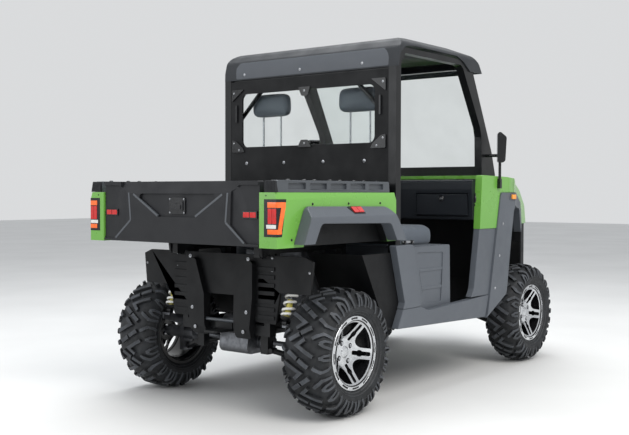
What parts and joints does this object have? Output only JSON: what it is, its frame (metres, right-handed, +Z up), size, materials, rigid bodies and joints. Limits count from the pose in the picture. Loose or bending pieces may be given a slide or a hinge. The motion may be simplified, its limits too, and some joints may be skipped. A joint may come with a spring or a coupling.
{
  "type": "side by side utv",
  "caption": "Two-seat side by side utility vehicle with an open cab, roll cage and roof, a tipping load bed with a drop tailgate and knobbly tyres.",
  "frame": {"origin": "on the ground under the middle of the vehicle's overall box", "axes": "+X forward, +Y to the driver's side on the left, +Z up"},
  "size_m": [3.15, 1.5972, 2.046],
  "materials": {
    "green_plastic": "gloss",
    "grey_plastic": "satin",
    "black_plastic": "matte",
    "dark_gloss": "gloss",
    "frame_paint": "satin",
    "cage_paint": "satin",
    "tyre_rubber": "matte",
    "rim_alloy": "satin",
    "cast_alloy": "satin",
    "spring_white": "gloss",
    "seat_vinyl": "matte",
    "lamp_red": "gloss",
    "lamp_clear": "gloss",
    "glass": "gloss",
    "wheel_grip": "matte"
  },
  "bodies": {
    "chassis": {"b_pillar_panels": "grey_plastic", "cab_glass": "glass", "chassis_frame": "frame_paint", "cowl": "green_plastic", "dashboard": "grey_plastic", "engine_block": "cast_alloy", "floor_pan": "black_plastic", "front_bumper": "frame_paint", "front_fascia": "black_plastic", "front_fenders": "green_plastic", "front_flares": "grey_plastic", "front_liners": "black_plastic", "headlamps": "lamp_clear", "hood": "green_plastic", "jamb_panels": "grey_plastic", "mirrors": "dark_gloss", "rear_cab_panel": "black_plastic", "rear_drive": "cast_alloy", "rear_hub_carriers": "cast_alloy", "rocker_panels": "grey_plastic", "roll_cage": "cage_paint", "roof": "black_plastic", "seat_backs": "seat_vinyl", "seat_base": "grey_plastic", "seat_cushions": "seat_vinyl", "shock_absorbers": "spring_white", "steering_column": "black_plastic", "suspension_arms": "frame_paint", "tail_guard": "black_plastic", "tow_hitch": "frame_paint", "well_panels": "black_plastic"},
    "knuckle_left": {"knuckle_left": "cast_alloy"},
    "knuckle_right": {"knuckle_right": "cast_alloy"},
    "wheel_front_left": {"front_tyre_left": "tyre_rubber", "front_rim_left": "rim_alloy"},
    "wheel_front_right": {"front_tyre_right": "tyre_rubber", "front_rim_right": "rim_alloy"},
    "wheel_rear_left": {"rear_tyre_left": "tyre_rubber", "rear_rim_left": "rim_alloy"},
    "wheel_rear_right": {"rear_tyre_right": "tyre_rubber", "rear_rim_right": "rim_alloy"},
    "steering_wheel": {"steering_wheel": "wheel_grip"},
    "bed": {"bed_tub": "black_plastic", "bed_side_panels": "green_plastic", "bed_rails": "dark_gloss", "bed_flares": "grey_plastic", "tail_lamps": "lamp_red"},
    "tailgate": {"tailgate": "black_plastic", "tailgate_latch": "black_plastic"},
    "glove_box_lid": {"glove_box_lid": "grey_plastic"}
  },
  "joints": [
    {"name": "steer_left", "type": "hinge", "parent": "chassis", "child": "knuckle_left", "pos_m": [1.085, 0.545, 0.33], "axis": [0, 0, 1], "range_deg": [-28, 28]},
    {"name": "front_wheel_left", "type": "hinge", "parent": "knuckle_left", "child": "wheel_front_left", "pos_m": [1.085, 0.616, 0.33], "axis": [0, 1, 0], "continuous": true},
    {"name": "rear_wheel_left", "type": "hinge", "parent": "chassis", "child": "wheel_rear_left", "pos_m": [-1.025, 0.616, 0.33], "axis": [0, 1, 0], "continuous": true},
    {"name": "steer_right", "type": "hinge", "parent": "chassis", "child": "knuckle_right", "pos_m": [1.085, -0.545, 0.33], "axis": [0, 0, 1], "range_deg": [-28, 28]},
    {"name": "front_wheel_right", "type": "hinge", "parent": "knuckle_right", "child": "wheel_front_right", "pos_m": [1.085, -0.616, 0.33], "axis": [0, 1, 0], "continuous": true},
    {"name": "rear_wheel_right", "type": "hinge", "parent": "chassis", "child": "wheel_rear_right", "pos_m": [-1.025, -0.616, 0.33], "axis": [0, 1, 0], "continuous": true},
    {"name": "steering_wheel_turn", "type": "hinge", "parent": "chassis", "child": "steering_wheel", "pos_m": [0.13, 0.335, 1.19], "axis": [-0.8624, 0, 0.5062], "range_deg": [-252, 252]},
    {"name": "bed_tilt", "type": "hinge", "parent": "chassis", "child": "bed", "pos_m": [-1.275, 0, 0.83], "axis": [0, -1, 0], "range_deg": [0, 45]},
    {"name": "tailgate_drop", "type": "hinge", "parent": "bed", "child": "tailgate", "pos_m": [-1.558, 0, 0.903], "axis": [0, -1, 0], "range_deg": [0, 90]},
    {"name": "glove_box_open", "type": "hinge", "parent": "chassis", "child": "glove_box_lid", "pos_m": [0.279, -0.4725, 1.013], "axis": [0, -1, 0], "range_deg": [0, 85]}
  ],
  "couplings": [
    {"joint": "steer_right", "follows": "steer_left", "ratio": 1},
    {"joint": "steering_wheel_turn", "follows": "steer_left", "ratio": 9}
  ]
}
